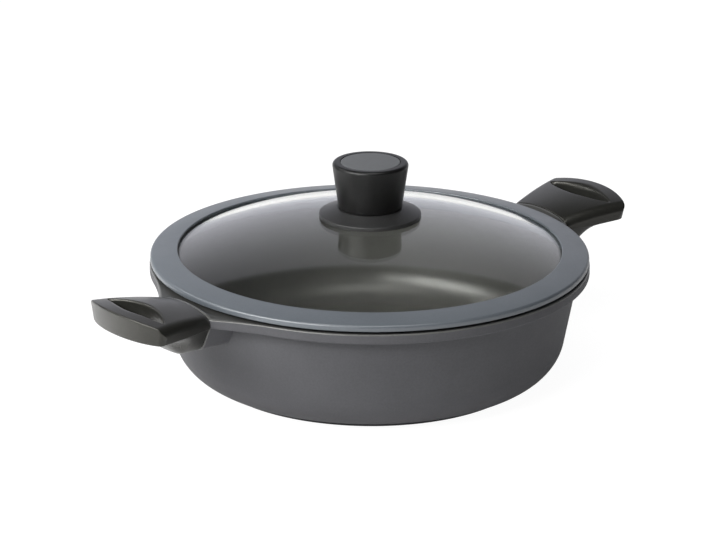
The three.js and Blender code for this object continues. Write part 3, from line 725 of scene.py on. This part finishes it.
def handle_surface():
    """Ring-shaped surface: for each outline point, a loop of distances in from the edge and heights.

    A round of radius q is a quarter circle: in by q (1 - cos a) while the height drops q (1 - sin a)."""
    inner = slot_middle + (outline - slot_middle) * slot_cross[:, None]
    run = np.hypot(*(inner - outline).T)[:, None]
    inward = (inner - outline) / run
    tip_side, pot_side = (smooth(way * inward[:, :1], *SLOT_BLEND) for way in (-1, 1))
    slot_round = mix(INNER_SLOT_ROUND, OUTER_SLOT_ROUND, tip_side)
    under_run = run + mix(OUTER_SLOT_DRAFT, INNER_SLOT_DRAFT, pot_side)
    quarter_turn = np.linspace(0, np.pi / 2, ROUND_POINTS)
    grow, drop = 1 - np.cos(quarter_turn), 1 - np.sin(quarter_turn)
    at_joint = outline[:, 0] < CLEARANCE + TOUCH
    draft = np.where(at_joint, 0, side_draft(outline[:, 0]))
    leaning = smooth(HANDLE_LENGTH - LEAN_END - outline[:, 0], 0, LEAN_RUN)
    draft = (draft * leaning)[:, None]
    edge = top_strip[:, None]
    t = np.linspace(0, 1, ACROSS_POINTS)[1:-1]
    across = edge + (run - slot_round - edge) * t
    under = draft + UNDER_ROUND + (under_run - UNDER_ROUND * 2 - draft) * t
    ones = np.ones_like(run)
    parts = [
        (edge * grow, -top_drop[:, None] * drop, True),
        (across, 0 * across, True),
        (run - slot_round * grow[::-1], -slot_round * drop[::-1], True),
        (under_run - UNDER_ROUND * grow, UNDER_ROUND * drop * ones, False),
        (under[:, ::-1], 0 * under, False),
        (draft + UNDER_ROUND * grow[::-1], UNDER_ROUND * drop[::-1] * ones, False),
    ]
    loops = []
    for depth, lift, is_top in parts:
        x = outline[:, :1] + inward[:, :1] * depth
        y = outline[:, 1:] + inward[:, 1:] * depth
        height = handle_top(x, y) if is_top else handle_underside(x, y)
        loops.append(np.stack([x, y, height + lift], -1))
    return np.concatenate(loops, 1)


def counterbore(piece, side):
    """Cuts the screw's counterbore from below, with a turned cutter that is then removed."""
    r, low, high = COUNTERBORE_RADIUS, CUTTER_BOTTOM, WASHER_TOP
    profile = np.array([[0, low], [r, low], [r, high], [0, high]])
    points = revolve(profile, CUTTER_TURNS) + [side * (joint_x + SCREW_X), 0, 0]
    mesh = closed_mesh("cutter", points, grid_faces(*points.shape[:2], False)[0])
    cutter = add_object("cutter", mesh)
    cut = piece.modifiers.new("counterbore", "BOOLEAN")
    cut.object = cutter
    cut.operation = "DIFFERENCE"
    made = piece.evaluated_get(bpy.context.evaluated_depsgraph_get())
    whole = piece.data
    piece.data = bpy.data.meshes.new_from_object(made)
    piece.modifiers.clear()
    bpy.data.meshes.remove(whole)
    bpy.data.objects.remove(cutter)
    bpy.data.meshes.remove(mesh)
    piece.data.name = piece.name
    piece.data.set_sharp_from_angle(angle=CRISP)


handle_points = handle_surface()
for side, label in SIDES:
    placed = handle_points * [side, side, 1] + [side * joint_x, 0, 0]
    name, node = f"grip_{label}", f"handle_{label}"
    grip = surface(name, placed, "pot", [handle_phenolic], [node])
    counterbore(grip, side)

# %% [markdown]
# Under the shelf of each lug the casting carries on down as a boss with the same section as the
# handle's neck. It is a loft: that section at the joint, widening a little towards the pot, where it
# ends inside the thickness of the wall.

# %% Lug bosses
LUG_INSET, LUG_DRAFT, LUG_EDGE, LUG_OVERLAP = 0.5, 7, 0.8, 1.5
LUG_KEEL_ROUND, LUG_FOOT_ROUND, ROOT_SPREAD = 10, 1.2, 1.1
CAP_ROWS, LOFT_ROWS, EDGE_ROWS, SHELF_POINTS, SECTION_STEPS = 12, 24, 6, 20, 14
root_x = inside_radius(flange_bottom) - LUG_REACH - NECK_HALF_WIDTH


def boss_surface():
    """Loft along X: y widens with the draft, and the root end follows the middle of the wall.

    The first rows close the root: the section shrinks to a point there, and stays inside the wall.
    The last rows round the edge at the joint, in by q (1 - cos a) over the last q mm."""
    top = flange_bottom + LUG_OVERLAP
    side = POT_HEIGHT + NECK_CREST - NECK_CROWN - NECK_SIDE
    width, foot = NECK_HALF_WIDTH - LUG_INSET, NECK_HALF_WIDTH - LUG_INSET - NECK_DRAFT
    keel, floor = NECK_KEEL - LUG_INSET, side - KEEL_DEPTH
    section = rounded([
        [-keel, floor, LUG_KEEL_ROUND],
        [keel, floor, LUG_KEEL_ROUND],
        [foot, side, LUG_FOOT_ROUND],
        [width, top],
        *spread((width, top), (-width, top), SHELF_POINTS),
        [-width, top],
        [-foot, side, LUG_FOOT_ROUND],
    ], steps=SECTION_STEPS)
    y0, z = section[:, 0], section[:, 1]
    half = (top - floor) / 2
    along = np.linspace(0, 1, LOFT_ROWS)[:, None]
    turn = np.linspace(0, np.pi / 2, EDGE_ROWS + 1)[1:, None]
    share = np.linspace(0, 1, CAP_ROWS, endpoint=False)[:, None]
    inset = LUG_EDGE * (1 - np.cos(turn))
    across = np.concatenate([share, np.ones_like(along), 1 - inset / width])
    up = np.concatenate([share, np.ones_like(along), 1 - inset / half])
    y = y0 * across
    z = floor + half + (z - floor - half) * up
    root = np.sqrt((inside_radius(z) + WALL / 2) ** 2 - (y * ROOT_SPREAD) ** 2)
    forward = np.concatenate([0 * share, along, np.ones_like(turn)])
    x = mix(root, joint_x - LUG_EDGE, forward)
    x[-EDGE_ROWS:] = joint_x - LUG_EDGE * (1 - np.sin(turn))
    widen = 1 + LUG_DRAFT * (joint_x - x) / (joint_x - root_x) / width
    return np.stack([x, y * widen, z], -1)


def boss_faces(rows, columns):
    """Faces of the loft, with a flat face over its last row, and which ones lie on the edge there."""
    last_row = (rows - 1) * columns
    faces = grid_faces(rows, columns, True)[0][:last_row].tolist()
    faces.append(list(range(last_row, rows * columns)))
    return faces, np.arange(len(faces)) // columns >= rows - 1 - EDGE_ROWS


boss_points = boss_surface()
faces, at_edge = boss_faces(*boss_points.shape[:2])
# The joint edge of each boss takes the rubbed-edge finish, whose lighter colour partly paints its
# highlight.
for side, label in SIDES:
    name = f"lug_boss_{label}"
    mesh = closed_mesh(name, boss_points * [side, side, 1], faces, at_edge)
    place_piece(name, mesh, "pot", [pot_coat, rubbed_edge_and_highlight])

# %% [markdown]
# ## The induction plate
# A steel disc is pressed into the foot so that an induction hob can heat the pot. Such plates are
# turned on a lathe, which leaves fine rings. The rings are cut into the profile, as shallow waves.

# %% Base plate
RING_PITCH, RING_DEPTH, RING_MARGIN, RING_POINTS = 2.4, 0.12, 1, 330
PLATE_ROUND, PLATE_TURNS = 0.4, 160


def plate_profile():
    """Disc profile whose lower face is a row of shallow waves, depth x (1 - cos) / 2."""
    r = np.linspace(0, plate_radius - RING_MARGIN, RING_POINTS)
    under = np.stack([r, RING_DEPTH * (1 - np.cos(2 * np.pi * r / RING_PITCH)) / 2], -1)
    r, z = plate_radius, PLATE_THICKNESS
    edge = rounded([[0, 0], [r, 0, PLATE_ROUND], [r, z], [0, z]])[1:]
    return np.concatenate([under, edge])


surface(
    "base_plate", revolve(plate_profile(), PLATE_TURNS), "pot", [bright_steel],
    ["induction_base_plate"], wrap_columns=False,
)

# %% [markdown]
# ## The lid
# The rim ring is soft silicone: a sloping top, a rounded outer edge that hides the joint, a pad on the
# flange, a lip down into the mouth and a groove that grips the glass. The glass is part of a sphere.

# %% Sizes of the lid
RING_SETBACK, RING_WIDTH, RING_GAP, RING_EDGE, RING_RISE, RING_LIP = 0.5, 18.4, 1.7, 4, 3.1, 1.9
RING_OUTER_ROUND, RING_INNER_ROUND, RING_UNDER_ROUND = 2, 0.8, 0.7
SEAT_WIDTH, SEAT_ROUND, PAD_ROUND = 4.5, 0.4, 0.3
LIP_DROP, LIP_THICKNESS, LIP_ROUND, LIP_CLEARANCE = 4, 3.4, 1.1, 0.8
GROOVE_DEPTH, GROOVE_JAW, DOME_RADIUS, GLASS_THICKNESS = 7.5, 2, 350, 4
TURNS = 300

ring_outer = flange_radius - RING_SETBACK
ring_inner = ring_outer - RING_WIDTH
ring_bottom = POT_HEIGHT + RING_GAP
ring_edge_top = ring_bottom + RING_EDGE
ring_inner_top = ring_edge_top + RING_RISE
glass_radius = ring_inner + GROOVE_DEPTH
dome_centre = ring_inner_top - RING_LIP - math.sqrt(DOME_RADIUS**2 - ring_inner**2)
glass_top = dome_centre + DOME_RADIUS


def dome_arc(offset, start, end, count):
    """Arc of the sphere offset from the top of the glass, between two radii."""
    radius = DOME_RADIUS + offset
    return arc(0, dome_centre, radius, math.acos(start / radius), math.acos(end / radius), count)


def dome_height(offset, r):
    """Height of that sphere over a radius."""
    return dome_centre + math.sqrt((DOME_RADIUS + offset) ** 2 - r * r)


print(f"top of the glass at {glass_top:.1f} mm")

# %% [markdown]
# The ring is turned as well. Its profile is closed, so the grid wraps both ways and no edge is open.
# The walls of the groove are arcs about the centre of the dome, a hair further off than the glass, so
# the groove fits the glass at any size.

# %% Rim ring
GROOVE_POINTS = 8


def ring_profile():
    """Profile of the ring from its lip, out under the edge, over the top and back through the groove."""
    groove_end = glass_radius + CLEARANCE
    lower = -GLASS_THICKNESS - CLEARANCE
    seat = POT_HEIGHT + CLEARANCE
    lip_bottom = dome_height(lower, groove_end) - LIP_DROP
    lip_outer = MOUTH_RADIUS - LIP_CLEARANCE - (POT_HEIGHT - lip_bottom) * SEAT_FLARE / FLANGE_THICKNESS
    return rounded([
        [lip_outer - LIP_THICKNESS, lip_bottom, LIP_ROUND],
        [lip_outer, lip_bottom, LIP_ROUND],
        [MOUTH_RADIUS - LIP_CLEARANCE, seat, SEAT_ROUND],
        [MOUTH_RADIUS + SEAT_WIDTH, seat, PAD_ROUND],
        [MOUTH_RADIUS + SEAT_WIDTH, ring_bottom, PAD_ROUND],
        [ring_outer, ring_bottom, RING_UNDER_ROUND],
        [ring_outer, ring_edge_top, RING_OUTER_ROUND],
        [ring_inner, ring_inner_top, RING_INNER_ROUND],
        *dome_arc(CLEARANCE, ring_inner, groove_end, GROOVE_POINTS),
        *dome_arc(lower, groove_end, ring_inner + GROOVE_JAW, GROOVE_POINTS),
    ])


ring = revolve(ring_profile(), TURNS)
surface("rim_ring", ring, "lid", [rim_silicone], ["lid_rim_ring"])

# %% [markdown]
# The glass is a sheet of even thickness between two spheres with one centre, with a hole for the screw.
# Both of its faces are modelled, because light bends where it goes in and where it comes out.

# %% Domed glass
SCREW_BORE, COLLAR_WALL, DOME_POINTS = 2.8, 0.9, 60
glass_hole = SCREW_BORE + COLLAR_WALL + CLEARANCE
glass_profile = np.concatenate([
    dome_arc(0, glass_radius, glass_hole, DOME_POINTS),
    dome_arc(-GLASS_THICKNESS, glass_hole, glass_radius, DOME_POINTS),
])
surface("dome_glass", revolve(glass_profile, TURNS), "lid", [clear_glass], ["lid_glass"])

# %% [markdown]
# ## The knob
# The knob is a black cone that widens towards the top, on a thin spreading skirt that follows the
# glass. A blue-grey disc is let into its top, level with the rim, and leaves a fine dark line round it.

# %% Knob
KNOB_TOP_RADIUS, KNOB_BASE_RADIUS, KNOB_HEIGHT = 25.9, 21.5, 31.2
KNOB_TOP_ROUND, KNOB_BASE_ROUND, KNOB_FOOT_ROUND, RECESS_ROUND = 3.2, 2.2, 0.4, 0.25
CAP_BORDER, CAP_THICKNESS, CAP_EDGE_ROUND = 5.9, 2.5, 0.6
SKIRT_WIDTH, SKIRT_RIM, SKIRT_EDGE_ROUND, SKIRT_SHOULDER, SKIRT_HEIGHT = 12.9, 2.6, 0.9, 1.1, 5.4
SKIRT_CHAMFER, SKIRT_STEP = 0.4, 0.1
BUSH_WALL, BUSH_LENGTH = 2.2, 14
HEAD_RADIUS, WASHER_BORDER, GASKET_BORDER, GASKET_THICKNESS = 5, 4.5, 1.5, 1.2
KNOB_TURNS, RECESS_POINTS, SKIRT_POINTS = 160, 4, 8

skirt_top = glass_top + SKIRT_HEIGHT
knob_bottom = skirt_top + CLEARANCE
knob_top = knob_bottom + KNOB_HEIGHT
cap_radius = KNOB_TOP_RADIUS - CAP_BORDER
skirt_radius = KNOB_BASE_RADIUS + SKIRT_WIDTH
washer_radius = HEAD_RADIUS + WASHER_BORDER
gasket_radius = washer_radius + GASKET_BORDER
gasket_top = CLEARANCE + GASKET_THICKNESS


def skirt_profile():
    """Skirt: hollow under side over the gasket and the dome, thin rim, sloping top."""
    recess = gasket_radius + CLEARANCE
    rim_bottom = dome_height(CLEARANCE, skirt_radius)
    return rounded([
        *dome_arc(gasket_top + CLEARANCE, SCREW_BORE, recess, RECESS_POINTS),
        *dome_arc(CLEARANCE, recess, skirt_radius - SKIRT_CHAMFER, SKIRT_POINTS),
        [skirt_radius, rim_bottom + SKIRT_STEP],
        [skirt_radius, rim_bottom + SKIRT_RIM, SKIRT_EDGE_ROUND],
        [KNOB_BASE_RADIUS + SKIRT_SHOULDER, skirt_top, KNOB_BASE_ROUND],
        [SCREW_BORE, skirt_top],
    ])


def grip_profile():
    """Cone with a rounded rim, a recess for the cap and a bore for the bush."""
    bore = SCREW_BORE + BUSH_WALL + CLEARANCE
    recess = cap_radius + CLEARANCE
    floor = knob_top - CAP_THICKNESS - CLEARANCE
    bore_top = knob_bottom + BUSH_LENGTH + CLEARANCE
    return rounded([
        [0, bore_top],
        [bore, bore_top],
        [bore, knob_bottom],
        [KNOB_BASE_RADIUS, knob_bottom, KNOB_FOOT_ROUND],
        [KNOB_TOP_RADIUS, knob_top, KNOB_TOP_ROUND],
        [recess, knob_top, RECESS_ROUND],
        [recess, floor],
        [0, floor],
    ])


def cap_profile():
    """Disc with a rounded upper edge."""
    return rounded([
        [0, knob_top - CAP_THICKNESS],
        [cap_radius, knob_top - CAP_THICKNESS],
        [cap_radius, knob_top, CAP_EDGE_ROUND],
        [0, knob_top],
    ])


for name, profile, slot, finish, node, wraps in (
    ("skirt", skirt_profile(), "knob_phenolic", skirt_phenolic, "knob_skirt", True),
    ("knob_grip", grip_profile(), "knob_phenolic", knob_phenolic, "knob_body", False),
    ("knob_disc", cap_profile(), "cap_silicone", cap_silicone, "knob_cap", False),
):
    surface(name, revolve(profile, KNOB_TURNS), "lid", [finish], [node], wrap_columns=wraps)

# %% [markdown]
# Under the glass a screw, a washer and a soft gasket hold the knob on, and inside the knob sits a brass
# bush. They are small, and some are hidden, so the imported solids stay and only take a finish. The same
# goes for the screws that hold the handles.

# %% Fasteners and seals
for finish, nodes in (
    (bright_steel, ["handle_screw_right", "handle_screw_left", "knob_screw"]),
    (bright_steel, ["handle_washer_right", "handle_washer_left", "knob_screw_washer"]),
    (turned_brass, ["knob_threaded_insert"]),
    (seal_silicone, ["knob_gasket_upper", "knob_gasket_lower"]),
):
    for node in nodes:
        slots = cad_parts[node].data.materials
        slots.clear()
        slots.append(finish)
    print(f"{finish.name}: {len(nodes)} solids keep their shape")

# %% [markdown]
# ## Floor, light and camera
# The picture is a product shot on white. A floor that glows brightly for the camera gives that white,
# and keeps a faint shadow under the pot. For reflections its glow is dimmer, so that the lower sides of
# the pot stay dark, and it brightens far behind the pot, where the back of the glass mirrors it.

# %% Floor
FLOOR_REACH, FLOOR_HEIGHT, FLOOR_ROUGHNESS = 6.0, -0.0002, 0.9
FLOOR_GLOW, FLOOR_SHADE, FLOOR_BOUNCE, FLOOR_ALBEDO = 0.96, 0.15, 0.15, 0.8
AWAY, NEAR, FAR, FAR_BOUNCE = (0.649, 0.760, 0.0), 0.4, 1.4, 0.85


def dot_node(tree, vector, way):
    """How far a vector reaches along a given way."""
    return math_node(tree, "DOT_PRODUCT", vector, way, kind="ShaderNodeVectorMath")


def pale_floor():
    """A wide square: the camera sees a white glow with faint shadows, other rays dimly lit paint."""
    corners = FLOOR_REACH * np.array([[-1, -1], [1, -1], [1, 1], [-1, 1]])
    mesh = bpy.data.meshes.new("floor")
    mesh.from_pydata(np.c_[corners, np.full(4, FLOOR_HEIGHT)], [], [[0, 1, 2, 3]])
    paint, tree, shader = new_finish("floor_white")
    seen = tree.nodes.new("ShaderNodeLightPath").outputs["Is Camera Ray"]
    place = tree.nodes.new("ShaderNodeTexCoord").outputs["Object"]
    bounce = map_range(tree, dot_node(tree, place, AWAY), NEAR, FAR, FLOOR_BOUNCE, FAR_BOUNCE)
    glow = map_range(tree, seen, 0, 1, bounce, FLOOR_GLOW)
    colour = map_range(tree, seen, 0, 1, FLOOR_ALBEDO, FLOOR_SHADE)
    set_inputs(shader, Base_Color=colour, Roughness=FLOOR_ROUGHNESS, Specular_IOR_Level=0.0)
    set_inputs(shader, Emission_Color=(1, 1, 1, 1), Emission_Strength=glow)
    mesh.materials.append(paint)
    floor = add_object("floor", mesh)
    print(f"floor: {2 * FLOOR_REACH:.0f} m wide")


pale_floor()

# %% [markdown]
# A glossy thing looks like what stands round it. The glass mirrors a pale backdrop that fades upwards
# and ends at an arched edge, and that edge is the soft line across the lid. A ramp of a few greys over
# the height of the view makes it, and the side behind the camera is dimmed.

# %% Sky
BACKDROP = (
    (0.00, 0.88), (0.10, 0.77), (0.25, 0.68), (0.42, 0.59),
    (0.57, 0.48), (0.700, 0.39), (0.716, 0.05), (1.00, 0.03),
)
BACKDROP_TINT = (0.96, 0.97, 1.06)
TOWARDS_BACKDROP, BEHIND, AHEAD, DIMMED = (0.43, 0.90, 0.0), -0.3, 0.95, 0.15
ACROSS_BACKDROP, ARCH = (0.760, -0.649, 0.0), 0.9


def studio_sky():
    """World light: a backdrop that fades upwards and ends at an arched edge, dimmer near the camera."""
    world = bpy.data.worlds.new("studio")
    bpy.context.scene.world = world
    world.use_nodes = True
    tree = world.node_tree
    place = tree.nodes.new("ShaderNodeTexCoord").outputs["Generated"]
    height = new_node(tree, "ShaderNodeSeparateXYZ", Vector=place).outputs["Z"]
    across = dot_node(tree, place, ACROSS_BACKDROP)
    squared = math_node(tree, "MULTIPLY", across, across)
    arched = math_node(tree, "MULTIPLY_ADD", squared, ARCH, height)
    ramp = new_node(tree, "ShaderNodeValToRGB", Fac=arched)
    stops = ramp.color_ramp.elements
    for position, _ in BACKDROP[1:-1]:
        stops.new(position)
    for stop, (position, light) in zip(stops, BACKDROP):
        stop.position = position
        stop.color = (*(light * tint for tint in BACKDROP_TINT), 1)
    share = map_range(tree, dot_node(tree, place, TOWARDS_BACKDROP), BEHIND, AHEAD, DIMMED, 1.0)
    set_inputs(tree.nodes["Background"], Color=ramp.outputs["Color"], Strength=share)


studio_sky()
print("greys in the backdrop:", len(BACKDROP))

# %% [markdown]
# One wide soft lamp at the front left models the pot. A small one behind at the left edges the handle,
# a soft one overhead fills the shadows, and one over the floor at the left brightens the patch that the
# left handle mirrors.

# %% Lamps
VIEW_AZIMUTH = math.radians(-40.5)


def aim(azimuth, elevation, distance, target):
    """Matrix that stands at an azimuth from the view and an elevation, and looks back at the target."""
    a = VIEW_AZIMUTH + math.radians(azimuth)
    e = math.radians(elevation)
    back = np.array([math.sin(a) * math.cos(e), -math.cos(a) * math.cos(e), math.sin(e)])
    right = np.array([math.cos(a), math.sin(a), 0.0])
    axes = np.stack([right, np.cross(back, right), back], -1)
    turned = Matrix(axes.tolist()).to_4x4()
    turned.translation = (target + back * distance).tolist()
    return turned


def soft_lamp(name, azimuth, elevation, distance, size, power, target=(0, 0, 0.06), beam=180):
    """A rectangular area lamp aimed at the pot or another target; a smaller beam angle narrows it."""
    lamp = bpy.data.lights.new(name, "AREA")
    lamp.shape = "RECTANGLE"
    lamp.size, lamp.size_y = size
    lamp.energy = power
    lamp.spread = math.radians(beam)
    holder = add_object(name, lamp)
    holder.matrix_world = aim(azimuth, elevation, distance, np.array(target))


soft_lamp("key", azimuth=-50, elevation=33, distance=1.9, size=(1.9, 0.6), power=52)
soft_lamp("rim_left", azimuth=-114, elevation=38, distance=1.2, size=(0.3, 0.3), power=1.8)
soft_lamp("fill_top", azimuth=0, elevation=74, distance=1.9, size=(1.3, 1.0), power=13)
soft_lamp(
    "floor_left", azimuth=0, elevation=90, distance=0.4, size=(0.3, 0.3), power=0.75,
    target=(-0.41, 0.19, 0), beam=70,
)
print("lamps:", len(bpy.data.lights))

# %% [markdown]
# The camera was fitted to the photograph: the rim, the foot and the knob fix its height, its distance
# and its lens. The pot is not in the middle of the photograph, so the camera looks a little past it, and
# it rolls by less than half a degree, as the photograph does.

# %% Camera
FOCAL_PIXELS, PICTURE_WIDTH, PICTURE_HEIGHT = 3236.4, 716, 540
VIEW_DISTANCE, VIEW_ELEVATION, VIEW_ROLL = 2.2, 0.348752, 0.0073552
TARGET_HEIGHT, TARGET_U, TARGET_V = 0.040, 369.65, 311.07
SENSOR_WIDTH, NEAREST, FARTHEST = 36, 0.05, 50


def turn_pair(a, b, angle):
    """Two axes turned in their plane: a cos - b sin, and b cos + a sin."""
    c, s = math.cos(angle), math.sin(angle)
    return a * c - b * s, b * c + a * s


def photo_camera():
    """Camera turned past the pot, so that the pot's middle falls on its pixel, and slightly rolled."""
    base = aim(0, math.degrees(VIEW_ELEVATION), VIEW_DISTANCE, np.array([0, 0, TARGET_HEIGHT]))
    right, up, back = (np.array(base.col[i][:3]) for i in range(3))
    pan = math.atan((TARGET_U - PICTURE_WIDTH / 2) / FOCAL_PIXELS)
    tilt = math.atan((PICTURE_HEIGHT / 2 - TARGET_V) / FOCAL_PIXELS)
    ahead, right = turn_pair(-back, right, pan)
    ahead, up = turn_pair(ahead, up, tilt)
    up, right = turn_pair(up, right, VIEW_ROLL)
    data = bpy.data.cameras.new("camera")
    data.sensor_width = SENSOR_WIDTH
    data.lens = FOCAL_PIXELS * SENSOR_WIDTH / PICTURE_WIDTH
    data.clip_start, data.clip_end = NEAREST, FARTHEST
    camera = add_object("camera", data)
    turned = Matrix(np.stack([right, up, -ahead], -1).tolist()).to_4x4()
    turned.translation = base.translation
    camera.matrix_world = turned
    bpy.context.scene.camera = camera
    print(f"lens {data.lens:.1f} mm")


photo_camera()
bpy.context.scene.view_settings.view_transform = "Standard"
